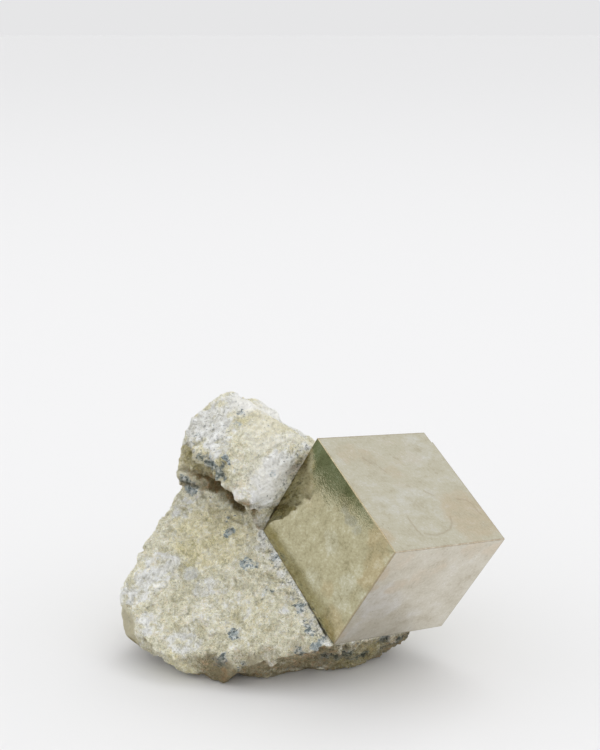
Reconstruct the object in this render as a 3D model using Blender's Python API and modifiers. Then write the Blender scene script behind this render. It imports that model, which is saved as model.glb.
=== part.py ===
"""Pyrite specimen: one pyrite cube standing out of a broken lump of pale marl.

Two solids in one collection. The frame is metres with +Z up, and the specimen stands on Z = 0 with
its near side towards -Y. Lengths in the constants below are millimetres and angles are degrees.
"""

import math

import bmesh
import bpy
from mathutils import Euler, Matrix, Vector, noise

MM = 0.001

# Moves the finished pieces sideways, so that the origin is under the middle of their common box.
ORIGIN_SHIFT = Vector((-0.3, -0.1, 0.0))

# The crystal: local +X runs along its near top edge, local +Y up its left face, and local +Z out
# of its top face. Its origin is the corner where the three faces that show meet.
CUBE_SIZE = Vector((29.7, 30.5, 27.0))
CUBE_CORNER = Vector((16.4, -32.0, 33.5))
CUBE_TURN = (31.4, 8.05, 38.1)
CUBE_BEVEL = 0.12
# A growth step on the far right edge, next to the far top corner: in from the right face, along
# the edge, and down.
STEP_SIZE = Vector((0.4, 3.0, 7.0))

# The seat that the rock keeps round the crystal.
SEAT_GAP = 0.3
CLEAR_LEFT = 1.5
# How far a cutter runs past the faces that it opens.
OVERCUT = 5.0

# The rock, as convex lumps that overlap. Each is the hull of its own corners.
# The long slope that leans up from the near foot to the neck, with the point at the far left.
SLAB = (
    (-27, 10.5, 32), (-28.5, 8, 30), (-31.5, 5, 26), (-34, 1, 21),
    (-37, -2, 17.5), (-39, -5, 14), (-35.5, -9.5, 11), (-33, -14, 8.5),
    (-29, -17.5, 6), (-21.5, -19, 6.5), (-15, -20, 7.5), (-4, -22, 9),
    (4.5, -22.5, 10.5), (-9.5, -1, 26), (-10, 4, 29.5), (-21.5, 12, 34.5),
    (-16, 8.5, 32), (-39, -3.5, 8), (-38, -6, 5), (-36, -7, 4),
    (-33, -9.5, 3), (-28, -13.5, 2), (-25.5, -15.5, 1.5), (-22.5, -16.5, 1),
    (-20, 20, -2), (5, 10, -2), (-30, 12, 6), (-26, 18, 22),
)
# The foot under the slope's near corner, which stands lowest.
PROW = (
    (-15, -20, 7.5), (-22, -18, 4), (-20.5, -18.5, 4.5), (-18, -19.5, 4.5),
    (-14, -21.5, 4), (-17, -18.5, 0), (-19.5, -17, 0), (-12.5, -20, 4),
    (-11.5, -18, 7.5), (-14.5, -15, 0.5), (-15, -8, -1), (-22, -10, -1),
)
# The rim that runs on from it below the crystal's near corner.
BROW = (
    (-15, -20, 7.5), (-14.5, -21.5, 4.5), (-10.5, -21.5, 5.5), (-7.5, -22, 7),
    (-4, -22, 9), (2.5, -23, 10), (4.5, -22.5, 10.5), (-13, -14.5, 0),
    (-10.5, -14.5, 0), (-7.5, -14.5, -0.5), (-4, -12.5, 0), (-1, -11, 0),
    (1.5, -8.5, -0.5), (-15, 0, -1), (4, -2, -1), (0, 0, 14),
)
# The mass under the crystal, undercut towards the right.
FOOT = (
    (5, -23, 10.5), (12.5, -16.5, 9), (22, -9, 7.5), (1.5, -8.5, -0.5),
    (4, -8.5, -0.5), (6.5, -10, 0), (10.5, -10, 0), (12.5, -7.5, 0),
    (16, -6, 1), (19, -5, 2.5), (21, -5.5, 4.5), (-6, -13, -0.5),
    (18, 3, 10), (13, 16, 17.5), (16, 12, 3), (8, 22, -1),
    (-8, 18, -1), (9.5, -18.5, 18.5),
)
# The head above the slope, which leans against the crystal's upper left edge.
LUMP = (
    (-13, -7, 34.5), (-11.5, -7, 35), (-13.5, -8, 39), (-14, -7.5, 41.5),
    (-15.5, -6, 44), (-17, -4, 44.5), (-15, 0.5, 47.5), (-15.5, 6.5, 50.5),
    (-16.5, 13, 53), (-15.5, 15.5, 52), (-18, 13.5, 52.5), (-21, 13, 50.5),
    (-24, 11.5, 48), (-25.5, 10, 45.5), (-26.5, 8, 42.5), (-24.5, 3, 43.5),
    (-20, -1.5, 44), (1, -9, 47), (-2, -6.5, 41), (-5.5, -4.5, 34.5),
    (-10.5, -1.5, 47), (-4.5, -3, 46), (1.5, -3.5, 44.5), (3, 2, 42),
    (-9.5, 15.5, 47.5), (-5.5, 15, 44.5), (-1.5, 12.5, 43), (-1, 9, 39),
    (-3, 12, 41), (-20, 22, 36), (-20.5, 10, 37),
)
# The shelf that overhangs the slope on the head's left.
LEDGE = (
    (-26, 6.5, 42), (-22.5, 1, 43.5), (-19, -2, 42.5), (-16.5, -4, 41.5),
    (-16, -3, 38.5), (-18.5, 2.5, 36), (-21, 8.5, 36), (-24.5, 6.5, 36.5),
    (-27, 7, 39), (-25, 9, 43), (-16, 3, 42.5), (-14, 6, 40),
)
# The waist between the slope and the head.
NECK = (
    (-26.5, 7.5, 41.5), (-27.5, 7, 38.5), (-28, 8, 35), (-27, 10, 32.5),
    (-25.5, 9.5, 35), (-21.5, 11, 35), (-18, 8, 34), (-20, 22, 36),
    (-18, 18, 26), (-10, 6, 30), (-14, 6, 38),
)
# The hollow that closes in on the crystal's left corner, below the head.
CHEEK = (
    (-12, -6.5, 34.5), (-10, -5.5, 33.5), (-8.5, -4, 31.5), (-9, -3, 29),
    (-10.5, -1, 27), (-9.5, -1, 26), (-3.5, -5.5, 38.5), (-7, -5, 34.5),
    (-7.5, -7, 37.5), (-6, 6, 34), (-10, 6, 28), (-14, 2, 33),
)
# The far side, under the head.
BACK = (
    (-14.5, 24, 48), (-13, 25, 48.5), (-11.5, 25, 48.5), (-9, 25.5, 46),
    (-6.5, 26, 44.5), (-5, 25.5, 42), (-18, 22, 45), (-23, 22, 34),
    (-27, 20, 20), (-26, 24, 4), (-20, 28, 2), (-6, 32, 12),
    (-9, 30, 27), (-4, 24, 38), (-8, 8, 43), (-10, 4, 40),
    (-10, 0, 10), (0.5, 27.5, 31), (4.5, 28.5, 19), (3, 28, 8),
)
# The far side, right of the head.
SHOULDER = (
    (-5, 25.5, 42), (-3.5, 25, 41.5), (-1.5, 24, 40), (1, 21.5, 38),
    (2, 5, 40), (8, 12.5, 36.5), (12.5, 16.5, 31), (14, 19, 20.5),
    (14.5, 14.5, 14), (-6, 26, 37), (2, 26, 27), (8, 25, 16),
    (-12, 28, 24), (-12, 28, 8), (11, 19, -1), (-10, 24, -1),
    (-6, 10, 42), (-10, 4, 30), (-10, 0, 6),
)
# The part that grew against the crystal's far side.
CRADLE = (
    (7, -7.5, 44), (17, 1.5, 41), (20, 8, 35.5), (17, 12, 27),
    (15, 14.5, 19), (4, 2, 42), (6.5, 5, 42), (10.5, 11, 39.5),
    (13, 15, 34.5), (14, 18, 26), (14, 18.5, 20), (14.5, 14.5, 14),
    (4, 20, 34.5), (2, 25.5, 27), (8, 25, 16), (11, 19, -1),
    (-4, 20, -1), (-10, 10, 20), (-4, 6, 32),
)
# The broken shelf low on the far side.
STEP = (
    (-25, 22, -1), (-27, 21, 9), (-22, 27.5, 13), (-10, 32, 15),
    (2, 31, 11), (9, 26, 8), (11, 22, -1), (0, 30, 1),
    (-14, 30.5, 0), (-10, 15, 16), (5, 12, 10), (-22, 10, -1),
    (8, 8, -1),
)
LUMPS = (SLAB, PROW, BROW, FOOT, LUMP, LEDGE, NECK, CHEEK, BACK, SHOULDER, CRADLE, STEP)

GROUND_REACH = 60.0
VOXEL = 0.6
ROCK_TRIANGLES = 7600

# Relief of the broken surface: its seed, the width of its chips, and how far they stand in or out.
RELIEF_SEED = 2
RELIEF = ((10.0, 0.7), (4.6, 0.3), (2.4, 0.15))
# Each chip's tilt and height against that depth, and how far its outline wanders, as a share of
# its width.
CHIP_TILT = 1.2
CHIP_STEP = 0.5
CHIP_WANDER = 0.3
# Within this distance of the crystal the relief dies away, so that the rock fits it closely.
RELIEF_FADE = 4.0
# Where the chips' pattern starts, and how far apart the patterns of the three widths are.
RELIEF_START = Vector((0.0, 5.0, 3.0))
RELIEF_OFFSET = Vector((17.0, 0.0, 0.0))

ROCK_COLOUR = (0.50, 0.45, 0.34, 1.0)
PYRITE_COLOUR = (0.60, 0.575, 0.46, 1.0)


def clear_scene():
    for obj in list(bpy.data.objects):
        bpy.data.objects.remove(obj)


def new_collection(name):
    collection = bpy.data.collections.new(name)
    bpy.context.scene.collection.children.link(collection)
    return collection


def new_material(name, colour, roughness, metallic):
    material = bpy.data.materials.new(name)
    material.use_nodes = True
    shader = material.node_tree.nodes["Principled BSDF"]
    shader.inputs["Base Color"].default_value = colour
    shader.inputs["Roughness"].default_value = roughness
    shader.inputs["Metallic"].default_value = metallic
    material.diffuse_color = colour
    return material


def new_object(name, mesh, collection):
    obj = bpy.data.objects.new(name, mesh)
    collection.objects.link(obj)
    return obj


def crystal_placement():
    """The matrix from the crystal's own frame to the specimen's, in metres."""
    turn = Euler([math.radians(angle) for angle in CUBE_TURN]).to_matrix().to_4x4()
    return Matrix.Translation(CUBE_CORNER * MM) @ turn


def box_mesh(name, low, high):
    """A box between two corners given in millimetres."""
    low, high = Vector(low) * MM, Vector(high) * MM
    bm = bmesh.new()
    stretch = Matrix.Diagonal(high - low).to_4x4()
    bmesh.ops.create_cube(bm, size=1.0, matrix=Matrix.Translation((low + high) / 2) @ stretch)
    mesh = bpy.data.meshes.new(name)
    bm.to_mesh(mesh)
    bm.free()
    return mesh


def cutter(name, low, high, collection, placement=None):
    obj = new_object(name, box_mesh(name, low, high), collection)
    if placement is not None:
        obj.matrix_world = placement
    obj.hide_render = True
    obj.display_type = "WIRE"
    return obj


def cut(obj, tool):
    modifier = obj.modifiers.new("cut " + tool.name, "BOOLEAN")
    modifier.operation = "DIFFERENCE"
    modifier.solver = "EXACT"
    modifier.object = tool


def applied_mesh(obj):
    """The object's mesh with its modifiers in it, which are then cleared."""
    graph = bpy.context.evaluated_depsgraph_get()
    mesh = bpy.data.meshes.new_from_object(obj.evaluated_get(graph))
    obj.modifiers.clear()
    obj.data = mesh
    return mesh


def build_crystal(parts, cutters):
    low = Vector((0.0, 0.0, -CUBE_SIZE.z))
    high = Vector((CUBE_SIZE.x, CUBE_SIZE.y, 0.0))
    crystal = new_object("pyrite_cube", box_mesh("pyrite_cube", low, high), parts)
    crystal.matrix_world = crystal_placement()
    far_top = Vector((CUBE_SIZE.x, CUBE_SIZE.y, 0.0))
    step_low = far_top - STEP_SIZE
    step_high = far_top + Vector((OVERCUT, OVERCUT, OVERCUT))
    cut(crystal, cutter("growth_step_cutter", step_low, step_high, cutters, crystal_placement()))
    bevel = crystal.modifiers.new("worn edges", "BEVEL")
    bevel.width = CUBE_BEVEL * MM
    bevel.segments = 2
    crystal.data.materials.append(new_material("pyrite", PYRITE_COLOUR, 0.15, 1.0))
    return crystal


def chip_height(place):
    """Height of a broken surface made of tilted flat chips with small steps between them."""
    place = place + CHIP_WANDER * noise.noise_vector(place * 1.3)
    centre = noise.voronoi(place)[1][0]
    tilt = CHIP_TILT * noise.noise_vector(centre * 5.7)
    return tilt.dot(place - centre) + CHIP_STEP * noise.noise(centre * 3.1)


def distance_to_crystal(point, to_crystal):
    local = to_crystal @ point
    half = CUBE_SIZE * MM / 2
    middle = Vector((half.x, half.y, -half.z))
    outside = [max(abs(local[i] - middle[i]) - half[i], 0.0) for i in range(3)]
    return Vector(outside).length


def roughen(mesh):
    noise.seed_set(RELIEF_SEED)
    bm = bmesh.new()
    bm.from_mesh(mesh)
    bm.normal_update()
    to_crystal = crystal_placement().inverted()
    moves = []
    for vertex in bm.verts:
        height = 0.0
        for number, (width, depth) in enumerate(RELIEF):
            place = vertex.co / (width * MM) + RELIEF_START + number * RELIEF_OFFSET
            height += depth * chip_height(place)
        fade = min(distance_to_crystal(vertex.co, to_crystal) / (RELIEF_FADE * MM), 1.0)
        moves.append(vertex.normal * (height * fade * MM))
    for vertex, move in zip(bm.verts, moves):
        vertex.co += move
    bm.to_mesh(mesh)
    bm.free()


def keep_largest_body(mesh):
    """Drops any crumb that the cuts left loose."""
    bm = bmesh.new()
    bm.from_mesh(mesh)
    unseen = set(bm.verts)
    bodies = []
    while unseen:
        queue = [unseen.pop()]
        body = set(queue)
        while queue:
            vertex = queue.pop()
            for edge in vertex.link_edges:
                other = edge.other_vert(vertex)
                if other not in body:
                    body.add(other)
                    queue.append(other)
        unseen -= body
        bodies.append(body)
    bodies.sort(key=len)
    crumbs = [vertex for body in bodies[:-1] for vertex in body]
    bmesh.ops.delete(bm, geom=crumbs, context="VERTS")
    bm.to_mesh(mesh)
    bm.free()


def build_rock(parts, cutters):
    bm = bmesh.new()
    for corners in LUMPS:
        verts = [bm.verts.new(Vector(corner) * MM) for corner in corners]
        hull = bmesh.ops.convex_hull(bm, input=verts)
        inside = {item for item in hull["geom_interior"] if isinstance(item, bmesh.types.BMVert)}
        bmesh.ops.delete(bm, geom=list(inside), context="VERTS")
    bmesh.ops.recalc_face_normals(bm, faces=bm.faces)
    mesh = bpy.data.meshes.new("matrix_rock")
    bm.to_mesh(mesh)
    bm.free()

    rock = new_object("matrix_rock", mesh, parts)
    remesh = rock.modifiers.new("one body", "REMESH")
    remesh.mode = "VOXEL"
    remesh.voxel_size = VOXEL * MM
    roughen(applied_mesh(rock))

    decimate = rock.modifiers.new("facets", "DECIMATE")
    decimate.ratio = ROCK_TRIANGLES / (2 * len(rock.data.polygons))
    applied_mesh(rock)

    seat_low = (-CLEAR_LEFT, -OVERCUT, -CUBE_SIZE.z - SEAT_GAP)
    seat_high = (CUBE_SIZE.x + SEAT_GAP, CUBE_SIZE.y + SEAT_GAP, OVERCUT)
    cut(rock, cutter("seat_cutter", seat_low, seat_high, cutters, crystal_placement()))
    ground_low = (-GROUND_REACH, -GROUND_REACH, -OVERCUT)
    ground_high = (GROUND_REACH, GROUND_REACH, 0.0)
    cut(rock, cutter("ground_cutter", ground_low, ground_high, cutters))
    bpy.context.view_layer.update()
    keep_largest_body(applied_mesh(rock))
    rock.data.materials.clear()
    rock.data.materials.append(new_material("marl", ROCK_COLOUR, 0.95, 0.0))
    return rock


def main():
    clear_scene()
    parts = new_collection("pyrite_specimen")
    cutters = new_collection("cutters")
    build_crystal(parts, cutters)
    build_rock(parts, cutters)
    for obj in [*parts.objects, *cutters.objects]:
        obj.location += ORIGIN_SHIFT * MM


main()
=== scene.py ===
"""Pyrite specimen: the looks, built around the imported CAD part.

One bright pyrite cube stands out of a broken lump of pale marl, on a pale floor in soft studio
light. Lengths in the constants below are millimetres and angles are degrees, unless they say so,
and colours are linear red, green and blue.
"""

import math

import bmesh
import bpy
import numpy as np
from mathutils import Matrix, Vector, noise


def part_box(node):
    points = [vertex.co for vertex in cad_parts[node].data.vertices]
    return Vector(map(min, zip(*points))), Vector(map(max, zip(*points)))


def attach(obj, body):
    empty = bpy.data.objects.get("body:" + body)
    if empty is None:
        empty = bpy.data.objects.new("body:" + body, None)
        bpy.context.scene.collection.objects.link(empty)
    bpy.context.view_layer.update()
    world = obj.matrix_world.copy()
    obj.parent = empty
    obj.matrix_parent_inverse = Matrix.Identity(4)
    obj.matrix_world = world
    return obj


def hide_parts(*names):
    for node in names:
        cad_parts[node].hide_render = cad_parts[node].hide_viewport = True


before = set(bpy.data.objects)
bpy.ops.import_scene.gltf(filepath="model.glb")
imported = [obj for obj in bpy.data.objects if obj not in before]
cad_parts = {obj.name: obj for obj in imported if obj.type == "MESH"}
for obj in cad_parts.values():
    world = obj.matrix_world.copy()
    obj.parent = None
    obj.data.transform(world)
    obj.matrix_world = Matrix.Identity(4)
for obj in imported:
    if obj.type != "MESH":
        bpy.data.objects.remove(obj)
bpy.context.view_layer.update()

MM = 0.001
NOISE_SEED = 5

# The camera stands where the photograph was taken from.
CAMERA_PLACE = Vector((-1.64, -276.68, 128.51))
CAMERA_DOWN = 14.0
CAMERA_LENS = 67.2
CAMERA_SENSOR = 36.0

# The sky's colour, its strength in front, at the far horizon and overhead, and what is added at
# both sides.
SKY_COLOUR = (0.99, 0.99, 1.0)
SKY_FRONT = 1.10
SKY_HORIZON = 0.80
SKY_ZENITH = 0.92
SKY_SIDES = 0.8
# The Z, Y and X of a direction between which the sky overhead, in front and at the sides takes
# over, and the Z at which the sky has its full strength.
SKY_RISE = (0.0, 0.5)
SKY_AHEAD = (0.2, -0.8)
SKY_ASIDE = (0.7, 1.0)
SKY_LIFT = 0.12
SUN_TURN = (-18.0, 14.0)
SUN_SPREAD = 37.0
SUN_POWER = 0.5
# The floor's colour near the specimen and at the horizon, darker with distance as painted light
# falloff, and, in metres, the distance at which it is halfway between them and half the floor's
# width.
FLOOR_NEAR = 0.788
FLOOR_FAR = 0.69
FLOOR_REACH = 1.3
FLOOR_HALF = 20.0
# A dark card to the left of the specimen, seen only in the crystal's left face: its distance, its
# colour, and its outline as places to the back and up.
CARD_PLACE = -150.0
CARD_COLOUR = (0.247, 0.308, 0.225)
CARD_OUTLINE = (
    (-6, 9), (2, 14.5), (11, 16.5), (14.5, 19), (17.5, 21), (24, 22), (60, 23), (60, 90), (-6, 90),
)

# The rock's surface mesh, before and after its relief.
WELD_DISTANCE = 0.001
ROCK_VOXEL = 0.3
ROCK_SMOOTHING = 4
ROCK_TRIANGLES = 190000

# Relief of the rock: the width of its chips, and how far they stand in or out.
CHIPS = ((5.2, 0.5), (2.6, 0.4), (1.35, 0.26))
CHIP_TILT = 1.3
CHIP_STEP = 0.7
# How far the edges of the chips wander and how closely, both against their width, and what takes
# the middle of a chip to its own place in the noise, for its tilt and for its step.
CHIP_WANDER = 0.35
CHIP_WAVES = 1.3
TILT_PLACE = 5.7
STEP_PLACE = 3.1
GRAIN_WIDTH = 0.8
GRAIN_DEPTH = 0.13
# Folds: their width, their depth and the level that they hang from, the direction in which they
# are drawn out, by which part, and how far and how closely they bend.
FOLD_WIDTH = 1.9
FOLD_DEPTH = 0.5
FOLD_LEVEL = 0.2
FOLD_ALONG = Vector((0.65, -0.74, -0.17))
FOLD_STRETCH = 0.55
FOLD_BEND = 0.6
FOLD_BEND_WIDTH = 3.0
# How much stronger the chips and grains are in rough zones, and how much of the relief is lost in
# smooth and in veiled ones.
ROUGH_GAIN = 1.1
SMOOTH_LOSS = 0.85
VEIL_LOSS = 0.6
# How much of the relief is left beside the crystal, the distances from it between which the rest
# sets in, and the height above the floor at which the relief is whole.
SEAT_RELIEF = 0.5
SEAT_FADE = (0.3, 3.0)
FLOOR_FADE = 1.0
# How far the rock closes over the clearance that the solids leave round the crystal, and the
# distances from the crystal between which that stops.
SEAT_CLOSE = 0.36
SEAT_REACH = (0.4, 1.2)

# The parts of its radius between which a zone ends, and the width and size of the waves by which
# the edges of zones wander, on the rock, on the specks in it and on the crystal.
ZONE_EDGE = (0.55, 1.1)
ROCK_WANDER = (2.5, 1.3)
SPECK_WANDER = (0.8, 1.1)
CRYSTAL_WANDER = (2.0, 1.2)

# Zones of the rock: a place on its surface, a radius and a strength. These ones are powdery white,
# yellow, covered by a pale veil, or tan.
# The third and fourth powder zones, at the lump's lower right beside the crystal, are partly painted
# light: white powder set to full strength for the light that the crystal throws there.
POWDER_ZONES = (
    (-21.5, 5, 47, 8.5, 1.0), (-18, -2, 44.5, 3.5, 0.7), (-7.5, -8.2, 39.8, 5, 1.0),
    (-5, -8.5, 43, 4, 1.0), (-5, 25, 43, 9, 0.9), (-31, -3.5, 18.5, 5, 0.8),
    (-35.5, -5, 14, 4.5, 0.8), (-27, 6, 28, 4, 0.6), (-32, -11, 9, 4.5, 0.7), (-25, -16, 8, 4, 0.7),
    (-9, -4, 27, 4.5, 0.8), (-21, -9, 17, 3.5, 0.6), (-13, -13, 14.5, 4, 0.35),
    (-3, -14, 15, 4, 0.4), (-8.5, -7, 35, 5, 0.9), (-14, 9, 51.5, 5, 0.8), (5, 24, 25, 9, 0.6),
    (-20, 26, 25, 8, 0.7), (-10, 30, 10, 6, 0.5),
)
OLIVE_ZONES = (
    (-20.5, 0, 25, 9.5, 1.0), (-26, -16.5, 2.5, 4, 0.9), (-22.8, 1.4, 41.5, 4.5, 1.0),
    (-25.5, 5, 40, 3.6, 1.0), (-17.6, -4, 40, 3.5, 1.0), (-37.5, -7, 7, 5, 1.0),
    (-8, 0, 48.5, 5.5, 1.0), (-12, 4, 50, 3, 0.9), (-12, -15, 12.5, 6, 0.4), (-25, 20, 12, 8, 0.6),
    (6, 24, 10, 7, 0.6), (-14, 24, 45, 5, 0.5), (10, -13, 4, 7, 0.6),
)
VEIL_ZONES = (
    (-9, -4, 46, 4.5, 0.4), (-9, 0, 49.3, 5.5, 0.4), (-4, -5, 48.3, 4.5, 0.3),
    (-11, 9, 50.5, 6, 1.0), (-6, 20, 46, 7, 1.0), (-7.5, -8, 40, 5.5, 0.75),
)
TAN_ZONES = ((-37.5, -7, 7, 5, 1.0), (-16.5, -20.5, 3.4, 3.6, 1.0), (-11, -21.8, 6.2, 2.4, 0.8))
# Zones of painted shade, in the crease and on the ledge under the lump, at the prow and along the
# bottom, deeper where the strength is above 1; and zones that are kept free of painted shade.
PAINTED_SHADE_ZONES = (
    (-18.6, -19.4, 3.1, 5, 0.9), (-13.5, -21, 3.5, 2.2, 0.9), (-25.6, 5, 40.9, 3, 0.6),
    (-22.8, 1.4, 41.2, 3, 0.55), (-20.5, -0.5, 40.5, 3, 0.55), (-17.6, -4, 40, 2.6, 0.45),
    (-22, 3, 38, 3.5, 0.75), (-21.5, 6.6, 36, 2.5, 1.7), (-19.7, 6.5, 34.5, 2.5, 1.9),
    (-17, 6, 33, 2.5, 2.0), (-15.5, 5.9, 31.8, 2.2, 2.0), (-13.7, 5, 30.1, 2, 1.9),
    (-13.2, -6.5, 34, 1.8, 1.4), (-11.6, -5.2, 32.2, 1.5, 1.2), (10.6, -13, 4, 6, 0.85),
    (4, -16, 5, 4, 0.8), (17.5, -8, 4, 5, 0.85), (-7.6, -21.6, 7.5, 3, 0.45),
    (-1.6, -22, 8.5, 3, 0.45), (-12.5, -21, 6.3, 3, 0.45),
)
BRIGHT_ZONES = (
    (-29, -14, 3, 5, 1.0), (-33, -11, 4, 3, 0.8), (-25, -17, 2.5, 3, 0.8), (-8, -7, 38, 6.5, 1.0),
    (-8.5, -4, 30, 3, 0.8),
)
# Zones with blue-grey splinters, and with small dark spots.
SPECK_ZONES = (
    (-16.7, -0.2, 25.7, 1.7, 1.0), (-12.7, -6.6, 21.1, 2.0, 1.0), (-1.6, -15.9, 15.2, 1.6, 1.0),
    (-15, -17.5, 10.5, 1.8, 1.0), (-17.2, -19.7, 6.3, 1.8, 1.0), (1.9, -21.9, 10.6, 2.0, 1.0),
    (0, -19, 12.8, 1.4, 0.9), (-25.9, 7.6, 34.6, 2.1, 0.9), (-24.8, 8.9, 32.8, 2.0, 0.9),
    (-23.8, 8.7, 31.2, 1.5, 0.9), (-21.5, -0.5, 42, 1.2, 0.9), (-19.5, -2.3, 41, 1.8, 1.0),
    (-17.6, -4.1, 40.2, 1.6, 1.0), (-20.6, -0.6, 39.6, 1.3, 0.9), (-16.6, -5.3, 43.1, 1.6, 1.0),
    (-19.9, -1.7, 43.4, 1.0, 0.9), (-24.5, 3.5, 42.8, 1.1, 0.9), (-13.5, 6, 50, 1.2, 0.7),
    (-14.5, 2, 48.8, 1.2, 0.7), (-23, 4, 46, 1.3, 0.6), (-4, 0, 46.5, 1.2, 0.7),
    (-7, -8, 41.5, 1.2, 0.6), (-6.6, -6.5, 22, 1.2, 0.7), (-16.4, 2.4, 27.4, 1.2, 0.8),
    (-13.5, -21.5, 5.1, 1.4, 0.6), (9, -13, 5.5, 3, 1.0), (15, -9, 4.5, 3, 1.0),
    (4, -17, 6, 2.4, 0.9), (19, -9, 6, 2.4, 1.0), (-4, -15, 2.5, 1.6, 0.7), (-18, -8, 17, 1.2, 0.6),
    (-8, -12, 17, 1.2, 0.6), (-28, -9, 12, 1.2, 0.5), (-5, -17, 11.5, 1.4, 0.6),
    (7.4, -17.6, 5.2, 2.8, 1.0), (11, -14, 3.4, 2.2, 1.0), (15.7, -12.8, 7, 1.8, 1.0),
    (-1.6, -22, 9, 1.5, 0.9), (-10, 28, 20, 1.8, 0.9), (2, 26, 20, 1.6, 0.9), (-22, 24, 14, 2, 0.8),
    (-14, 26, 34, 2, 0.8), (8, 24, 12, 2, 0.7),
)
PEPPER_ZONES = (
    (-21.5, 5, 46, 9, 1.0), (-24, 3, 40, 4, 1.0), (-14, 6, 50, 4, 0.7), (-5, 28, 40, 9, 0.8),
    (5, 24, 22, 8, 0.6), (-22, 24, 25, 8, 0.7),
)
# Zones with less relief, and with more.
SMOOTH_ZONES = (
    (-37.5, -7, 7, 5, 1.0), (-16.5, -20.5, 3.4, 3.6, 1.0), (-11, -21.8, 6.2, 2.4, 0.8),
    (-24.4, -5.8, 18.8, 2.4, 0.5), (-22.8, -8.5, 16.4, 1.8, 0.4), (-5, -22, 8, 2.6, 0.6),
)
ROUGH_ZONES = (
    (-24, 4, 40, 4.5, 1.0), (-21, 0.5, 39.5, 3.5, 1.0), (-18, -3, 39.5, 3.2, 1.0),
    (-12, -5.5, 32.5, 3, 0.7), (6, -15, 5, 8, 0.8), (17, -9, 5, 6, 0.8), (-7, -21, 6, 6, 0.3),
)
# Places where the surface swells out or is hollowed.
SWELLS = (
    (-12.5, -7.4, 36.5, 3, 0.9), (-8.5, -6.8, 36, 3, 0.6), (-23, 1.2, 42.2, 2.6, 0.5),
    (-18, -4, 42, 2.2, 0.5), (-14, -8.5, 37.5, 3.0, 0.5), (-20.5, -12, 13, 4, 0.3),
    (-30, -6, 14, 3.5, 0.35),
)
HOLLOWS = (
    (-13.2, -6.5, 33.4, 1.6, 0.9), (-11.6, -5.2, 32, 1.5, 1.1), (-17.2, 6.0, 33, 3, 0.7),
    (-20, 6.3, 34.6, 3, 0.7), (-15, 5.8, 31.6, 2, 0.5), (-21, 1, 39, 2.4, 0.5),
    (-28.5, -4, 19.5, 1.4, 0.4), (-17.5, -8, 18, 2.6, 0.3), (-25, -11, 12.5, 2.4, 0.3),
)
# Places that are pulled forward, the direction of the pull, and where the pull ends behind the
# crystal's left face.
PULLS = ((-8, -7, 35.5, 6.4, 1.4), (-9, -5, 31, 3, 1.8), (-8.2, 3, 27.3, 3.2, 1.8))
PULL_ALONG = np.array((0.0, -0.97, 0.24))
PULL_END = (-0.6, 0.2)
# Ridges of the surface: their width and height, and their course.
RIDGES = (
    (0.8, 0.9, ((-23.4, 1.9, 42.9), (-21.2, -0.7, 41.8), (-19.5, -2.3, 40.6), (-16.5, -4.7, 38.2))),
    (0.7, 0.7, ((-26.4, 6.8, 38.6), (-25.0, 4.6, 38.2), (-22.6, 2.6, 37.6), (-20.6, 0.8, 38.2))),
)
# Shell-like scars: a place, a radius and a depth, the ripples in them by their share of the depth
# and by their angle at the scar's edge in radians, and the zones where the scars' colour shows.
SCARS = (
    (-24.4, -5.8, 18.8, 2.4, 0.5), (-22.8, -8.7, 16.2, 1.9, 0.35), (-36.2, -9.6, 7.3, 0.9, 0.2),
)
SCAR_RIPPLE = 0.12
SCAR_WAVES = 14.0
SCARS_SHOWN = ((-24.4, -5.8, 18.8, 2.3, 1.0), (-22.8, -8.7, 16.2, 1.7, 0.7))
# The slopes between which a surface that faces down counts as an underside and how dark the painted
# shade on it is, and the distances from the crystal between which it counts as beside it, with the
# powder and the spots there. Yellow zones lose this part of their powder.
UNDERSIDE_SLOPE = (-0.75, -0.1)
UNDERSIDE_SHADE = 0.9
BESIDE_REACH = (1.0, 4.5)
BESIDE_POWDER = 0.58
BESIDE_PEPPER = 1.4
OLIVE_LOSS = 0.75
# What is added to the height of the relief, in millimetres, where it works on the tone as painted
# light on raised parts and painted shade in pits.
RAISED_MIDDLE = 0.5

# Colours of the marl: its plain, yellow and powdery parts by their tone, and its splinters by a
# value that each of them draws.
CREAM_RAMP = (
    (0.38, (0.45, 0.425, 0.285)),
    (0.45, (0.68, 0.66, 0.485)),
    (0.52, (0.835, 0.815, 0.64)),
    (0.59, (0.96, 0.96, 0.91)),
)
YELLOW_RAMP = (
    (0.38, (0.485, 0.45, 0.23)),
    (0.46, (0.74, 0.695, 0.45)),
    (0.53, (0.90, 0.85, 0.615)),
    (0.60, (0.96, 0.955, 0.84)),
)
WHITE_RAMP = (
    (0.38, (0.57, 0.56, 0.485)),
    (0.46, (0.80, 0.797, 0.735)),
    (0.54, (0.91, 0.918, 0.885)),
    (0.61, (0.96, 0.97, 0.965)),
)
SPLINTER_RAMP = (
    (0.15, (0.12, 0.155, 0.16)),
    (0.40, (0.25, 0.305, 0.315)),
    (0.65, (0.42, 0.48, 0.49)),
    (0.90, (0.66, 0.70, 0.70)),
)
# Its other colours. Those called a tint are multiplied with what is under them.
ROSY_TINT = (1.025, 0.975, 0.95)
OCHRE = (0.80, 0.69, 0.43)
VEIN_COLOUR = (0.95, 0.94, 0.90)
CRACK_COLOUR = (0.40, 0.37, 0.28)
VEIL_COLOUR = (0.97, 0.96, 0.905)
SKIN_DARK = (0.415, 0.375, 0.25)
SKIN_PALE = (0.565, 0.525, 0.385)
SCAR_COLOUR = (0.76, 0.77, 0.73)
SPOT_COLOUR = (0.20, 0.21, 0.20)
HALO_COLOUR = (0.74, 0.77, 0.78)
CHINK_COLOUR = (0.26, 0.235, 0.17)
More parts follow.
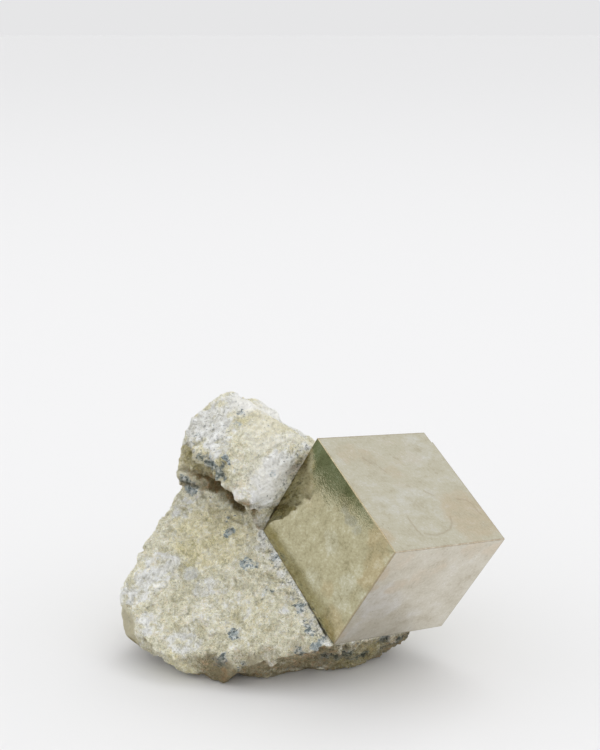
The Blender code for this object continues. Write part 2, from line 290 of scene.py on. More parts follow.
# Painted shade: brown tints, redder where the hue noise is high, as orange-brown stains, and
# yellower on olive zones, and a deeper one where the shade's strength passes 1.
SHADE_TINT = (0.39, 0.345, 0.25)
RED_SHADE_TINT = (0.48, 0.35, 0.23)
YELLOW_SHADE_TINT = (0.42, 0.385, 0.235)
DEEPER_SHADE_TINT = (0.47, 0.43, 0.35)
# The depth of the bumps that are only in its shading.
MARL_BUMP = 0.17

# The crystal's surface mesh: its cell, its worn edge, the growth step at its far corner with the
# thickness of the step's wall, and the slack in comparing places with it.
CRYSTAL_CELL = 0.28
CRYSTAL_BEVEL = 0.12
STEP_SIZE = Vector((0.4, 3.0, 7.0))
STEP_WALL = 0.04
STEP_SLACK = 1e-4
# Growth lines on its top face, in its own frame: +X, +Y and +Z point out of the right, far and top
# faces, from the corner nearest to the camera.
GROWTH_LINES = (
    ((8.8, 8.1), (8.7, 6.4), (8.9, 4.4), (9.3, 3.1)),
    ((10.3, 3.7), (11.3, 3.2), (13.0, 3.0), (15.0, 3.3), (17.4, 4.1), (19.0, 5.6), (19.6, 7.2)),
    ((24.8, 11.5), (27.0, 11.0), (27.8, 9.8), (27.8, 8.2), (28.1, 7.0)),
    ((17.6, 14.4), (19.3, 12.9)),
    ((8.0, 24.3), (8.6, 23.3), (9.3, 22.7)),
    ((10.5, 21.5), (11.4, 20.1)),
    ((16.0, 24.0), (16.9, 23.2)),
    ((14.2, 16.2), (14.8, 15.8)),
    ((24.2, 18.9), (24.5, 18.7)),
)
# The lines' width and depth, and how far below the top face they still show.
GROWTH_WIDTH = 0.2
GROWTH_DEPTH = 0.008
GROWTH_BELOW = 0.1
# Stained, pale and bluish zones of its faces, in the same frame.
STAIN_ZONES = (
    (0, 4.5, -2, 4, 1.0), (0, 2, -6, 4, 1.0), (0, 1.5, -10, 2.5, 0.9), (0, 3, -23.5, 4, 0.9),
    (0, 8.4, -20, 2.5, 0.7), (0, 16, -2.5, 3.5, 0.7), (0, 24, -9, 5, 0.4), (25, 7, 0, 8, 0.95),
    (10, 23, 0, 5, 0.35), (19, 25, 0, 6, 0.35), (14, 18, 0, 4, 0.3), (22, 0, -1.5, 4, 0.7),
    (28, 0, -3, 3.5, 0.7), (12, 0, -9, 4, 0.6), (7, 0, -11, 3, 0.7), (16, 0, -6.5, 3, 0.7),
    (3, 0, -3, 4, 0.5), (5, 26, 0, 4, 0.6), (9, 24, 0, 3, 0.7), (13, 20, 0, 2.5, 0.6),
    (26, 12, 0, 2.5, 0.7),
)
PALE_ZONES = (
    (0, 13.4, -12, 3.2, 1.0), (0, 12.8, -22, 3, 0.8), (0, 5.1, -15, 3.5, 1.0), (0, 4.5, -19, 3, 0.8),
    (13, 12, 0, 5, 0.6), (5, 12, 0, 4, 0.6), (24, 26, 0, 5, 0.6), (19, 8, 0, 4, 0.5),
    (20, 22, 0, 3, 0.6), (8, 0, -17, 5, 0.8), (16, 0, -21, 4, 0.5), (3, 0, -24, 3, 0.6),
    (4, 0, -14, 6, 1.0),
)
BLUISH_ZONES = ((0, 15.4, -4.3, 2.2, 0.8), (0, 13, -4.6, 2, 0.9), (0, 10, -5.2, 1.6, 0.7))
# The direction in which its faces are brushed, as turns of the X axis.
BRUSHED_TURN = (0.0, -35.0, -56.0)
# Low waves and growth terraces on its faces: their width and their depth, how many terraces there
# are, how far and how closely their edges wander, how far apart the faces lie in the noise, and
# the distances from an edge between which all this sets in.
WAVES = ((9.0, 0.022), (3.4, 0.006))
TERRACE_WIDTH = 7.0
TERRACE_DEPTH = 0.003
TERRACE_LEVELS = 3.0
TERRACE_WANDER = 0.35
TERRACE_WANDER_WIDTH = 2.2
FACE_SHIFT = 40.0
FACE_FADE = (0.1, 1.6)

# Colours of the pyrite by its tone, on its top, left and front faces, and the depths behind the left
# and the front face between which their colours end. The left face's darker, yellower colours and
# the front face's brighter ones are painted reflection.
TOP_RAMP = (
    (0.38, (0.49, 0.45, 0.335)),
    (0.46, (0.565, 0.535, 0.41)),
    (0.54, (0.605, 0.58, 0.465)),
    (0.62, (0.67, 0.655, 0.565)),
)
LEFT_RAMP = (
    (0.40, (0.325, 0.295, 0.17)),
    (0.46, (0.43, 0.395, 0.245)),
    (0.53, (0.505, 0.47, 0.305)),
    (0.59, (0.605, 0.58, 0.415)),
)
FRONT_RAMP = (
    (0.38, (0.52, 0.465, 0.36)),
    (0.46, (0.635, 0.59, 0.49)),
    (0.54, (0.70, 0.66, 0.565)),
    (0.62, (0.79, 0.76, 0.68)),
)
LEFT_DEPTH = (0.3, 0.05)
FRONT_DEPTH = (0.35, 0.1)
# Its tints, which are multiplied with what is under them, and its other colours.
PALE_TINT = (1.08, 1.11, 1.22)
STAIN_TINT = (0.96, 0.88, 0.80)
BLUISH_TINT = (0.80, 0.83, 0.93)
RUST_COLOUR = (0.36, 0.29, 0.19)
DOT_COLOUR = (0.30, 0.26, 0.18)
DUST_COLOUR = (0.82, 0.82, 0.74)
# The depth of the bumps that are only in its shading.
PYRITE_BUMP = 0.008


def smooth_step(low, high, value):
    part = np.clip((value - low) / (high - low), 0.0, 1.0)
    return part * part * (3.0 - 2.0 * part)


def fade_in(limits, distance):
    """From 0 to 1 while a distance in metres goes from one limit to the other."""
    low, high = limits
    return smooth_step(low * MM, high * MM, distance)


def new_object(name, mesh):
    obj = bpy.data.objects.new(name, mesh)
    bpy.context.scene.collection.objects.link(obj)
    return obj


def applied_mesh(obj):
    """The object's mesh with its modifiers in it, which are then cleared."""
    graph = bpy.context.evaluated_depsgraph_get()
    mesh = bpy.data.meshes.new_from_object(obj.evaluated_get(graph))
    obj.modifiers.clear()
    obj.data = mesh
    return mesh


def vertex_array(mesh, key="co"):
    values = np.empty(len(mesh.vertices) * 3, np.float32)
    mesh.vertices.foreach_get(key, values)
    return values.reshape(-1, 3).astype(float)


def set_vertices(mesh, points):
    mesh.vertices.foreach_set("co", points.astype(np.float32).ravel())
    mesh.update()


def set_clipped(mesh, points, box):
    """Moves the mesh's vertices to the points, but not out of the box."""
    low, high = (np.array(corner) for corner in box)
    set_vertices(mesh, np.clip(points, low, high))


def set_attributes(mesh, **attributes):
    for name, values in attributes.items():
        attribute = mesh.attributes.new(name, "FLOAT", "POINT")
        attribute.data.foreach_set("value", np.asarray(values, np.float32))


def crystal_frame(node):
    """The crystal's own frame and its size: +X, +Y and +Z point out of its right, far and top
    faces, and the origin is the corner where its three shown faces meet."""
    normals = {}
    for face in node.data.polygons:
        key = tuple(round(part, 1) for part in face.normal)
        normals[key] = normals.get(key, Vector()) + face.normal * face.area
    sides = sorted(normals.values(), key=lambda normal: normal.length)[-6:]
    sides = [side.normalized() for side in sides]
    up = max(sides, key=lambda side: side.z)
    along = max((side for side in sides if abs(side.dot(up)) < 0.5), key=lambda side: side.x)
    along = (along - up * along.dot(up)).normalized()
    turn = Matrix((along, up.cross(along), up))
    places = np.array([turn @ vertex.co for vertex in node.data.vertices])
    low, high = places.min(0), places.max(0)
    origin = turn.transposed() @ Vector((low[0], low[1], high[2]))
    return Matrix.Translation(origin) @ turn.transposed().to_4x4(), Vector(high - low)


def way_to_crystal(points, place, size):
    """Each point's place in the crystal's frame, and the way from it to the crystal's surface."""
    inverse = np.array(place.inverted())
    local = points @ inverse[:3, :3].T + inverse[:3, 3]
    low, high = (0.0, 0.0, -size.z), (size.x, size.y, 0.0)
    return local, np.clip(local, low, high) - local


def zone_weight(points, zones):
    """How strongly the strongest of the zones works at each point."""
    weight = np.zeros(len(points))
    for x, y, z, radius, strength in zones:
        distance = np.linalg.norm(points - np.array((x, y, z)) * MM, axis=1)
        inner, outer = (part * radius * MM for part in ZONE_EDGE)
        near = 1.0 - smooth_step(inner, outer, distance)
        weight = np.maximum(weight, strength * near)
    return weight


def wander(points, width, size):
    """Moves of up to about the given size, in waves of the given width, both in millimetres."""
    waves = np.array([noise.noise_vector(Vector(point) / (width * MM)) for point in points])
    return size * MM * waves


def distance_to_line(points, line):
    """How far each point is from a line of straight parts."""
    nearest = np.full(len(points), np.inf)
    for start, end in zip(line, line[1:]):
        start, along = np.array(start), np.subtract(end, start)
        part = np.clip((points - start) @ along / (along @ along), 0.0, 1.0)
        distance = np.linalg.norm(points - start - part[:, None] * along, axis=1)
        nearest = np.minimum(nearest, distance)
    return nearest


def chip_height(place):
    """Height of a broken surface made of tilted flat chips with small steps between them."""
    place = place + CHIP_WANDER * noise.noise_vector(place * CHIP_WAVES)
    centre = noise.voronoi(place)[1][0]
    tilt = CHIP_TILT * noise.noise_vector(centre * TILT_PLACE)
    return tilt.dot(place - centre) + CHIP_STEP * noise.noise(centre * STEP_PLACE)


def rock_relief(point):
    """The rock's relief at a point given in millimetres: its chips, its grains and its folds."""
    chips = 0.0
    for number, (width, depth) in enumerate(CHIPS):
        chips += depth * chip_height(point / width + Vector((9.0 * number, 4.0, 0.0)))
    nearest = noise.voronoi(point / GRAIN_WIDTH)[0][0]
    grains = GRAIN_DEPTH * (1.0 - 2.0 * nearest)
    drawn = point - FOLD_STRETCH * point.dot(FOLD_ALONG) * FOLD_ALONG
    bent = drawn / FOLD_WIDTH + FOLD_BEND * noise.noise_vector(point / FOLD_BEND_WIDTH)
    folds = FOLD_DEPTH * (FOLD_LEVEL - abs(noise.noise(bent)))
    return chips, grains, folds


def scar_depth(points, scar):
    """How deep a shell-like scar is at each point, in millimetres."""
    x, y, z, radius, depth = scar
    reach = np.linalg.norm(points - np.array((x, y, z)) * MM, axis=1) / (radius * MM)
    ripple = SCAR_RIPPLE * np.cos(reach * SCAR_WAVES)
    return depth * np.clip((1.0 + ripple) * (1.0 - reach**4), 0.0, 1.0)


def rock_heights(points, spots, distance):
    """How far the rock's relief stands out at each point, in millimetres."""
    chips, grains, folds = np.array([rock_relief(Vector(point) / MM) for point in points]).T
    rough = 1.0 + ROUGH_GAIN * zone_weight(spots, ROUGH_ZONES)
    calm = 1.0 - VEIL_LOSS * zone_weight(spots, VEIL_ZONES)
    seat = SEAT_RELIEF + (1.0 - SEAT_RELIEF) * fade_in(SEAT_FADE, distance)
    fade = seat * (1.0 - SMOOTH_LOSS * zone_weight(spots, SMOOTH_ZONES))
    heights = ((chips + grains) * rough + folds) * calm * fade
    heights += zone_weight(points, SWELLS)
    heights -= zone_weight(points, HOLLOWS)
    for width, height, line in RIDGES:
        heights += height * np.exp(-((distance_to_line(spots / MM, line) / width) ** 2))
    for scar in SCARS:
        heights -= scar_depth(points, scar)
    return heights * fade_in((0.0, FLOOR_FADE), points[:, 2])


def seat_moves(local, towards, place):
    """Moves that close the rock over the clearance round the crystal."""
    length = np.linalg.norm(towards, axis=1)
    close = SEAT_CLOSE * MM * (1.0 - fade_in(SEAT_REACH, length))
    pull = towards / np.maximum(length, 1e-9)[:, None] * close[:, None]
    return pull @ np.array(place)[:3, :3].T


def even_rock():
    """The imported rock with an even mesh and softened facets."""
    rock = new_object("marl_matrix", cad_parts["matrix_rock"].data.copy())
    bm = bmesh.new()
    bm.from_mesh(rock.data)
    bmesh.ops.remove_doubles(bm, verts=bm.verts, dist=WELD_DISTANCE * MM)
    bm.to_mesh(rock.data)
    bm.free()
    rock.data.materials.clear()
    remesh = rock.modifiers.new("even mesh", "REMESH")
    remesh.mode = "VOXEL"
    remesh.voxel_size = ROCK_VOXEL * MM
    soften = rock.modifiers.new("soften facets", "SMOOTH")
    soften.iterations = ROCK_SMOOTHING
    applied_mesh(rock)
    return rock


def mark_rock(mesh, points, spots, slope, distance):
    """Attributes that say where each of the marl's colours shows, and where it gets painted shade.
    """
    # Surfaces that face down count as undersides and get painted shade.
    underside = 1.0 - smooth_step(*UNDERSIDE_SLOPE, slope)
    beside = 1.0 - fade_in(BESIDE_REACH, distance)
    powder = np.maximum(zone_weight(spots, POWDER_ZONES), BESIDE_POWDER * beside * (1.0 - underside))
    olive = zone_weight(spots, OLIVE_ZONES)
    dark = np.maximum(zone_weight(spots, PAINTED_SHADE_ZONES), UNDERSIDE_SHADE * underside)
    ragged = spots + wander(points, *SPECK_WANDER)
    set_attributes(
        mesh,
        powder=powder * (1.0 - OLIVE_LOSS * olive),
        olive=olive,
        dark=dark * (1.0 - zone_weight(spots, BRIGHT_ZONES)),
        tan=zone_weight(spots, TAN_ZONES),
        scar=zone_weight(points, SCARS_SHOWN),
        veil=zone_weight(spots, VEIL_ZONES),
        speck=zone_weight(ragged, SPECK_ZONES),
        pepper=np.maximum(zone_weight(spots, PEPPER_ZONES), BESIDE_PEPPER * beside),
    )


def build_rock(place, size):
    rock = even_rock()
    mesh = rock.data
    points = vertex_array(mesh)
    normals = vertex_array(mesh, "normal")
    local, towards = way_to_crystal(points, place, size)
    distance = np.linalg.norm(towards, axis=1)
    spots = points + wander(points, *ROCK_WANDER)
    heights = rock_heights(points, spots, distance)
    pulls = zone_weight(points, PULLS) * (1.0 - fade_in(PULL_END, local[:, 0]))
    points = points + normals * (heights * MM)[:, None] + PULL_ALONG * (pulls * MM)[:, None]
    points += seat_moves(local, towards, place)
    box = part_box("matrix_rock")
    set_clipped(mesh, points, box)
    mark_rock(mesh, points, spots, normals[:, 2], distance)
    # The relief's height, for painted light on raised parts and painted shade in pits.
    set_attributes(mesh, raised=RAISED_MIDDLE + heights)

    decimate = rock.modifiers.new("fewer triangles", "DECIMATE")
    decimate.ratio = ROCK_TRIANGLES / (2 * len(mesh.polygons))
    mesh = applied_mesh(rock)
    set_clipped(mesh, vertex_array(mesh), box)
    mesh.shade_smooth()
    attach(rock, "root")
    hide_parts("matrix_rock")
    return rock


def grid_lines(length, extra=()):
    """Places of the grid's lines along one side of the crystal, closer together at its edges."""
    bevel = CRYSTAL_BEVEL
    rise = [bevel * (1.0 - math.tan(math.radians(angle))) for angle in (45.0, 30.0, 15.0, 0.0)]
    count = round((length - 2.0 * bevel) / CRYSTAL_CELL)
    inner = np.linspace(bevel, length - bevel, count + 1)
    lines = [*rise[:-1], *inner, *(length - place for place in rise[-2::-1]), *extra]
    return sorted(lines)


def gridded_block(lines):
    """The six faces of a block, divided at the lines along its three sides."""
    counts = [len(line) for line in lines]
    bm = bmesh.new()
    made = {}

    def corner(index):
        if index not in made:
            made[index] = bm.verts.new([lines[axis][index[axis]] for axis in range(3)])
        return made[index]

    for axis in range(3):
        first, second = (axis + 1) % 3, (axis + 2) % 3
        for end in (0, counts[axis] - 1):
            for i in range(counts[first] - 1):
                for j in range(counts[second] - 1):
                    loop = []
                    for di, dj in ((0, 0), (1, 0), (1, 1), (0, 1)):
                        index = [0, 0, 0]
                        index[axis], index[first], index[second] = end, i + di, j + dj
                        loop.append(corner(tuple(index)))
                    bm.faces.new(loop if end else loop[::-1])
    return bm


def face_relief(place, axis):
    """Height of the waves and growth terraces at a place on a face, in millimetres."""
    place = place + Vector((0.0, 0.0, FACE_SHIFT * axis))
    height = sum(depth * noise.noise(place / width) for width, depth in WAVES)
    bend = TERRACE_WANDER * noise.noise_vector(place / TERRACE_WANDER_WIDTH)
    level = TERRACE_LEVELS * noise.noise(place / TERRACE_WIDTH + bend)
    return min(height + TERRACE_DEPTH * math.floor(level), 0.0)


def shape_crystal(bm, size, step):
    """Rounds the block's edges, sets its far corner back by the growth step and adds the relief of
    its faces. Gives the distance of each vertex from the nearest edge."""
    distances = []
    for vertex in bm.verts:
        at = vertex.co.copy()
        limit = size.copy()
        if at.y >= step.y - STEP_SLACK and at.z >= step.z - STEP_SLACK:
            limit.x = step.x
            at.x *= limit.x / size.x
        inner = Vector([min(max(at[i], CRYSTAL_BEVEL), limit[i] - CRYSTAL_BEVEL) for i in range(3)])
        out = (at - inner).normalized()
        depths = sorted(min(at[i], limit[i] - at[i]) for i in range(3))
        distances.append(depths[1])
        axis = max(range(3), key=lambda i: abs(out[i]))
        fade = float(smooth_step(*FACE_FADE, depths[1]))
        vertex.co = inner + out * (CRYSTAL_BEVEL + fade * face_relief(at, axis))
    return distances


def growth_lines(points):
    """How near each point of the top face is to a growth line, from 0 to 1."""
    flat = points[:, :2] / MM
    nearest = np.min([distance_to_line(flat, line) for line in GROWTH_LINES], axis=0)
    on_top = points[:, 2] > -GROWTH_BELOW * MM
    return on_top * np.exp(-((nearest / GROWTH_WIDTH) ** 2))


def build_crystal(place, size):
    size = size / MM
    step = size - STEP_SIZE
    bm = gridded_block((
        grid_lines(size.x),
        grid_lines(size.y, (step.y, step.y - STEP_WALL)),
        grid_lines(size.z, (step.z, step.z - STEP_WALL)),
    ))
    distances = shape_crystal(bm, size, step)
    bmesh.ops.translate(bm, verts=bm.verts, vec=(0.0, 0.0, -size.z))
    bmesh.ops.scale(bm, verts=bm.verts, vec=(MM, MM, MM))
    mesh = bpy.data.meshes.new("pyrite_crystal")
    bm.to_mesh(mesh)
    bm.free()

    points = vertex_array(mesh)
    lines = growth_lines(points)
    points[:, 2] -= GROWTH_DEPTH * MM * lines
    set_vertices(mesh, points)
    spots = points + wander(points, *CRYSTAL_WANDER)
    set_attributes(
        mesh,
        edge=distances,
        line=lines,
        stain=zone_weight(spots, STAIN_ZONES),
        pale=zone_weight(spots, PALE_ZONES),
        bluish=zone_weight(spots, BLUISH_ZONES),
    )
    own = mesh.attributes.new("own_place", "FLOAT_VECTOR", "POINT")
    own.data.foreach_set("vector", points.astype(np.float32).ravel())
    mesh.transform(place)
    set_clipped(mesh, vertex_array(mesh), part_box("pyrite_cube"))
    mesh.shade_smooth()
    crystal = new_object("pyrite_crystal", mesh)
    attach(crystal, "root")
    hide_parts("pyrite_cube")
    return crystal


class Shader:
    """The nodes of a new material or of the world, and short ways to add to them."""

    def __init__(self, owner, place="Object"):
        owner.use_nodes = True
        self.owner = owner
        self.tree = owner.node_tree
        self.place = self.node("TexCoord").outputs[place]

    def plug(self, socket, value):
        """Links a socket, or sets its value. A colour comes without its opacity, which is full."""
        if isinstance(value, bpy.types.NodeSocket):
            self.tree.links.new(value, socket)
        elif socket.type == "RGBA":
            socket.default_value = (*value, 1.0)
        else:
            socket.default_value = value

    def node(self, kind, settings=None, **inputs):
        node = self.tree.nodes.new("ShaderNode" + kind)
        for key, value in (settings or {}).items():
            setattr(node, key, value)
        self.fill(node, inputs)
        return node

    def fill(self, node, inputs):
        for key, value in inputs.items():
            self.plug(node.inputs[key.replace("_", " ")], value)

    def surface(self, **inputs):
        self.fill(self.tree.nodes["Principled BSDF"], inputs)

    def attribute(self, name, output="Fac"):
        return self.node("Attribute", {"attribute_name": name}).outputs[output]

    def cloud(self, width, mapping, detail, roughness, distortion=0.0):
        """Noise whose features are about width millimetres across, from 0 to 1."""
        node = self.node("TexNoise", Vector=mapping.outputs[0], Scale=1.0 / (width * MM))
        self.fill(node, {"Detail": detail, "Roughness": roughness, "Distortion": distortion})
        return node.outputs["Fac"]

    def noise(
        self, width, detail=3.0, roughness=0.55, distortion=0.0, shift=(0, 0, 0), stretch=(1, 1, 1)
    ):
        """Noise at a place that is shifted in millimetres and stretched."""
        location = [part * MM for part in shift]
        mapping = self.node("Mapping", Vector=self.place, Location=location, Scale=stretch)
        return self.cloud(width, mapping, detail, roughness, distortion)

    def streaks(self, width, length, turn, detail=4.0, roughness=0.6):
        """Noise drawn out along the X axis, which is turned by three angles."""
        mapping = self.node("Mapping", {"vector_type": "TEXTURE"}, Vector=self.place)
        rotation = [math.radians(angle) for angle in turn]
        self.fill(mapping, {"Rotation": rotation, "Scale": (length / width, 1.0, 1.0)})
        return self.cloud(width, mapping, detail, roughness)

    def cell_values(self, width):
        """A value from 0 to 1 for each of many small cells."""
        cells = self.node("TexVoronoi", Vector=self.place, Scale=1.0 / (width * MM))
        return self.node("SeparateColor", Color=cells.outputs["Color"]).outputs["Red"]

    def math(self, operation, first, second=0.0, clamp=False):
        node = self.node("Math", {"operation": operation, "use_clamp": clamp})
        self.plug(node.inputs[0], first)
        self.plug(node.inputs[1], second)
        return node.outputs[0]

    def sum(self, *terms):
        """The sum of values, each multiplied by its weight."""
        total = None
        for value, weight in terms:
            value = self.math("MULTIPLY", value, weight)
            total = value if total is None else self.math("ADD", total, value)
        return total

    def between(self, value, low, high, bottom=0.0, top=1.0):
        """Goes smoothly from bottom to top while the value goes from low to high."""
        settings = {"interpolation_type": "SMOOTHSTEP"}
        node = self.node("MapRange", settings, Value=value, From_Min=low, From_Max=high)
        self.fill(node, {"To Min": bottom, "To Max": top})
        return node.outputs["Result"]

    def threads(self, pattern, width):
        """Thin lines where a pattern of noise passes its middle."""
        away = self.math("ABSOLUTE", self.math("SUBTRACT", pattern, 0.5))
        return self.between(away, width, 0.0)

    def scatter(self, zone, pattern, contrast, low=0.25, high=0.85):
        """How much of a zone shows at a place, with the zone broken up by a pattern of noise."""
        value = self.sum((zone, 1.0), (pattern, contrast), (1.0, -0.5 * contrast))
        return self.between(value, low, high)

    def mix(self, factor, first, second, blend="MIX"):
        node = self.node("Mix", {"data_type": "RGBA", "blend_type": blend})
        self.plug(node.inputs[0], factor)
        self.plug(node.inputs[6], first)
        self.plug(node.inputs[7], second)
        return node.outputs[2]

    def over(self, colour, layer, amount, strength):
        """The colour with a layer laid over it, where and as strongly as the amount says."""
        return self.mix(self.sum((amount, strength)), colour, layer)

    def tinted(self, colour, tint):
        return self.mix(1.0, colour, tint, "MULTIPLY")

    def grey(self, value):
        return self.node("CombineColor", Red=value, Green=value, Blue=value).outputs["Color"]

    def ramp(self, factor, stops):
        node = self.node("ValToRGB", Fac=factor)
        elements = node.color_ramp.elements
        while len(elements) < len(stops):
            elements.new(0.5)
        for element, (position, colour) in zip(elements, stops):
            element.position = position
            element.color = (*colour, 1.0)
        return node.outputs["Color"]

    def bump(self, height, depth):
        """A bump of the given depth in millimetres."""
        return self.node("Bump", Height=height, Distance=depth * MM).outputs["Normal"]


def marl_ground(shader, tone, hue, patches):
    """The marl's plain, yellow and ochre parts with the white powder on them."""
    olive = shader.attribute("olive")
    cream = shader.ramp(tone, CREAM_RAMP)
    rosy = shader.tinted(cream, ROSY_TINT)
    colour = shader.mix(shader.between(hue, 0.52, 0.62), cream, rosy)
    colour = shader.mix(shader.scatter(olive, hue, 2.6), colour, shader.ramp(tone, YELLOW_RAMP))
    ochre = shader.noise(0.75, 4.0, 0.7, distortion=1.8, shift=(1, 6, 2))
    ochre = shader.between(shader.sum((ochre, 1.0), (olive, 0.04)), 0.52, 0.62)
    colour = shader.over(colour, OCHRE, ochre, 0.42)
    powder = shader.scatter(shader.attribute("powder"), patches, 2.8)
    return shader.mix(powder, colour, shader.ramp(tone, WHITE_RAMP))


def marl_skin(shader, colour, flakes):
    """The pale veil, the tan skin and the shell-like scars."""
    colour = shader.over(colour, VEIL_COLOUR, shader.attribute("veil"), 0.75)
    skin = shader.mix(shader.noise(2.5, 5.0, 0.7), SKIN_DARK, SKIN_PALE)
    colour = shader.over(colour, skin, shader.attribute("tan"), 0.85)
    scar = shader.scatter(shader.attribute("scar"), flakes, 2.4, 0.3, 1.3)
    return shader.mix(scar, colour, SCAR_COLOUR)


def marl_splinters(shader, colour):
    """Blue-grey splinters with a pale halo."""
    speck = shader.attribute("speck")
    halo = shader.scatter(speck, shader.noise(0.9, 3.0, 0.65), 2.0, 0.1, 0.9)
    colour = shader.over(colour, HALO_COLOUR, halo, 0.45)
    pattern = shader.noise(0.5, 3.0, 0.7, distortion=1.5, shift=(5, 5, 2), stretch=(0.55, 1, 1.3))
    splinters = shader.scatter(speck, pattern, 3.4, 0.45, 0.75)
    return shader.over(colour, shader.ramp(shader.cell_values(0.55), SPLINTER_RAMP), splinters, 0.95)


def marl_painted_shade(shader, colour, hue, dark):
    """Painted shade in browns, with dark chinks in it, and a deeper painted shade above strength 1.
    """
    shade_tint = shader.mix(shader.between(hue, 0.5, 0.62), SHADE_TINT, RED_SHADE_TINT)
    shade_tint = shader.mix(shader.attribute("olive"), shade_tint, YELLOW_SHADE_TINT)
    chinks = shader.threads(shader.noise(1.6, 4.0, 0.65, 1.4, (4, 9, 2)), 0.045)
    chinks = shader.math("MULTIPLY", chinks, dark, clamp=True)
    colour = shader.over(colour, CHINK_COLOUR, chinks, 0.6)
    colour = shader.mix(dark, colour, shader.tinted(colour, shade_tint))
    deeper_shade = shader.math("SUBTRACT", dark, 1.0, clamp=True)
    return shader.mix(deeper_shade, colour, shader.tinted(colour, DEEPER_SHADE_TINT))


def marl_material():
    shader = Shader(bpy.data.materials.new("marl"))
    dark = shader.attribute("dark")
    flakes = shader.noise(0.6, 4.0, 0.65, distortion=2.2)
    patches = shader.noise(1.9, 5.0, 0.62)
    hue = shader.noise(1.1, 4.0, 0.6, shift=(3.0, 1.0, 7.0))
    grit = shader.noise(0.3, 2.0, 0.5)
    raised = shader.attribute("raised")
    # The tone follows the relief's height: painted light on raised parts, painted shade in pits.
    tone = shader.sum((flakes, 0.57), (patches, 0.25), (grit, 0.21), (raised, 0.12), (1.0, -0.095))
    # Flakes get more tone contrast where the painted shade is.
    contrast = shader.math("MULTIPLY", shader.math("SUBTRACT", flakes, 0.5), dark)
    tone = shader.sum((tone, 1.0), (contrast, 0.5))
    veins = shader.threads(shader.noise(1.3, 3.0, 0.6, 1.6, (7, 3, 1)), 0.022)
    cracks = shader.threads(shader.noise(1.7, 4.0, 0.65, 1.2, (2, 8, 5)), 0.012)
    spots = shader.noise(0.55, 3.0, 0.6, shift=(9, 2, 4))
    spots = shader.sum((spots, 1.0), (shader.attribute("pepper"), 0.07))
    spots = shader.between(spots, 0.655, 0.71)

    colour = marl_ground(shader, tone, hue, patches)
    colour = shader.over(colour, VEIN_COLOUR, veins, 0.6)
    colour = shader.over(colour, CRACK_COLOUR, cracks, 0.4)
    colour = marl_skin(shader, colour, flakes)
    colour = shader.over(colour, SPOT_COLOUR, spots, 0.65)
    colour = marl_splinters(shader, colour)
    colour = marl_painted_shade(shader, colour, hue, dark)
    grain = shader.noise(0.32, 4.0, 0.7)
    height = shader.sum((grain, 1.0), (flakes, 0.8), (veins, 0.35), (cracks, -0.4), (spots, -0.5))
    bump = shader.bump(height, MARL_BUMP)
    shader.surface(Base_Color=colour, Roughness=0.92, Specular_IOR_Level=0.25, Normal=bump)
    return shader.owner


def metal_with_painted_reflection(shader, tone, front):
    """The metal's colour on its top face, with painted reflection on its left face, darker and
    yellower, and on its front face, brighter.
    """
    depth = shader.node("SeparateXYZ", Vector=shader.place).outputs["X"]
    left = shader.between(depth, *(part * MM for part in LEFT_DEPTH))
    others = shader.mix(front, shader.ramp(tone, TOP_RAMP), shader.ramp(tone, FRONT_RAMP))
    return shader.mix(left, others, shader.ramp(tone, LEFT_RAMP))


def pyrite_stains(shader, colour, pattern):
    """The pale, stained and bluish places, each tinted from the faces' colour under them, painted
    reflection included.
    """
    layers = (("pale", PALE_TINT), ("stain", STAIN_TINT), ("bluish", BLUISH_TINT))
    faces_colour = colour
    for name, tint in layers:
        amount = shader.scatter(shader.attribute(name), pattern, 2.4, 0.1, 1.2)
        colour = shader.mix(amount, colour, shader.tinted(faces_colour, tint))
    return colour


def pyrite_rust(shader, colour, front):
    """Rusty edges and growth lines, dark dots and pale dust."""
    worn = shader.between(shader.noise(1.5, 4.0), 0.35, 0.65, 0.5, 1.0)
    band = shader.between(shader.attribute("edge"), 0.42, 0.10)
    band = shader.math("MULTIPLY", band, worn)
    front_band = shader.math("MULTIPLY", band, front)
    rusty = shader.sum((band, 0.7), (front_band, 0.15), (shader.attribute("line"), 0.45))
    colour = shader.mix(rusty, colour, RUST_COLOUR)
    dots = shader.between(shader.noise(0.6, 2.0, 0.5, shift=(4, 1, 6)), 0.70, 0.76)
    colour = shader.over(colour, DOT_COLOUR, dots, 0.5)
    dust = shader.between(shader.noise(0.45, 2.0, 0.5, shift=(7, 3, 2)), 0.69, 0.75)
    return shader.over(colour, DUST_COLOUR, dust, 0.4)


def pyrite_material():
    shader = Shader(bpy.data.materials.new("pyrite"))
    shader.place = shader.attribute("own_place", "Vector")
    depth = shader.node("SeparateXYZ", Vector=shader.place).outputs["Y"]
    front = shader.between(depth, *(part * MM for part in FRONT_DEPTH))
    streaks = shader.noise(2.6, 6.0, 0.62, stretch=(0.45, 0.85, 0.6))
    brushed = shader.streaks(0.45, 1.7, BRUSHED_TURN)
    fine = shader.noise(0.5, 4.0, 0.75, distortion=0.4)
    tone = shader.sum((streaks, 0.48), (brushed, 0.26), (fine, 0.26))
    colour = metal_with_painted_reflection(shader, tone, front)
    colour = pyrite_stains(shader, colour, streaks)
    colour = pyrite_rust(shader, colour, front)
    rough = shader.between(shader.noise(3.0, 5.0, 0.65), 0.3, 0.7, 0.04, 0.10)
    bump = shader.bump(shader.noise(0.5, 3.0, 0.6), PYRITE_BUMP)
    shader.surface(Base_Color=colour, Metallic=1.0, Roughness=rough, Normal=bump)
    return shader.owner


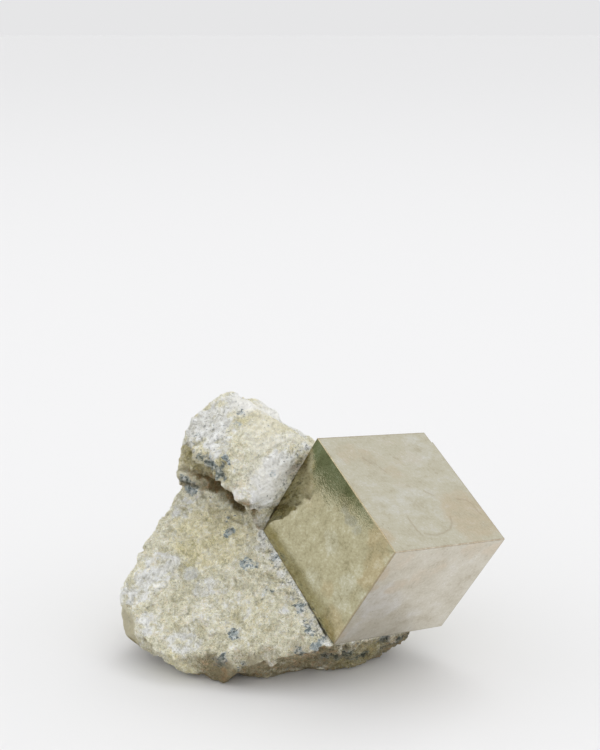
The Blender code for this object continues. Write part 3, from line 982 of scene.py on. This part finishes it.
def floor_material():
    shader = Shader(bpy.data.materials.new("floor"))
    # The floor's colour darkens with distance from the specimen: painted light falloff.
    distance = shader.node("VectorMath", {"operation": "LENGTH"}, Vector=shader.place)
    reach = shader.math("DIVIDE", distance.outputs["Value"], FLOOR_REACH)
    near = shader.math("DIVIDE", 1.0, shader.math("ADD", shader.math("MULTIPLY", reach, reach), 1.0))
    colour = shader.grey(shader.sum((near, FLOOR_NEAR - FLOOR_FAR), (1.0, FLOOR_FAR)))
    shader.surface(Base_Color=colour, Roughness=0.8, Specular_IOR_Level=0.1)
    return shader.owner


def card_material():
    shader = Shader(bpy.data.materials.new("card"))
    shade = shader.between(shader.noise(25.0), 0.3, 0.7, 0.8, 1.2)
    glow = shader.tinted(CARD_COLOUR, shader.grey(shade))
    shader.surface(Emission_Color=glow, Emission_Strength=1.0, Base_Color=(0.0, 0.0, 0.0))
    return shader.owner


def build_camera():
    camera = new_object("camera", bpy.data.cameras.new("camera"))
    camera.data.sensor_fit = "VERTICAL"
    camera.data.sensor_height = CAMERA_SENSOR
    camera.data.lens = CAMERA_LENS
    camera.data.clip_start = 10.0 * MM
    camera.location = CAMERA_PLACE * MM
    camera.rotation_euler = (math.radians(90.0 - CAMERA_DOWN), 0.0, 0.0)
    bpy.context.scene.camera = camera


def build_floor():
    bm = bmesh.new()
    bmesh.ops.create_grid(bm, x_segments=1, y_segments=1, size=FLOOR_HALF)
    mesh = bpy.data.meshes.new("floor")
    bm.to_mesh(mesh)
    bm.free()
    floor = new_object("floor", mesh)
    mesh.materials.append(floor_material())


def build_card():
    mesh = bpy.data.meshes.new("card")
    corners = [(CARD_PLACE * MM, along * MM, up * MM) for along, up in CARD_OUTLINE]
    mesh.from_pydata(corners, [], [range(len(corners))])
    card = new_object("card", mesh)
    card.visible_camera = card.visible_diffuse = card.visible_shadow = False
    mesh.materials.append(card_material())


def build_sky():
    world = Shader(bpy.data.worlds.new("studio"), "Generated")
    bpy.context.scene.world = world.owner
    axes = world.node("SeparateXYZ", Vector=world.place).outputs
    rise = world.between(axes["Z"], *SKY_RISE, SKY_HORIZON, SKY_ZENITH)
    ahead = world.between(axes["Y"], *SKY_AHEAD)
    aside = world.between(world.math("ABSOLUTE", axes["X"]), *SKY_ASIDE, 0.0, SKY_SIDES)
    back = world.math("MULTIPLY", rise, world.math("SUBTRACT", 1.0, ahead))
    full = world.sum((back, 1.0), (ahead, SKY_FRONT), (aside, 1.0), (1.0, -SKY_HORIZON))
    lift = world.between(axes["Z"], 0.0, SKY_LIFT)
    strength = world.sum((1.0, SKY_HORIZON), (full, lift))
    world.fill(world.tree.nodes["Background"], {"Color": SKY_COLOUR, "Strength": strength})


def build_sun():
    sun = new_object("overhead", bpy.data.lights.new("overhead", "SUN"))
    sun.data.energy = SUN_POWER
    sun.data.angle = math.radians(SUN_SPREAD)
    sun.rotation_euler = (math.radians(SUN_TURN[0]), math.radians(SUN_TURN[1]), 0.0)


noise.seed_set(NOISE_SEED)
bpy.context.scene.view_settings.view_transform = "Standard"
place, size = crystal_frame(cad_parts["pyrite_cube"])
build_camera()
build_floor()
build_card()
build_sky()
build_sun()
build_rock(place, size).data.materials.append(marl_material())
build_crystal(place, size).data.materials.append(pyrite_material())
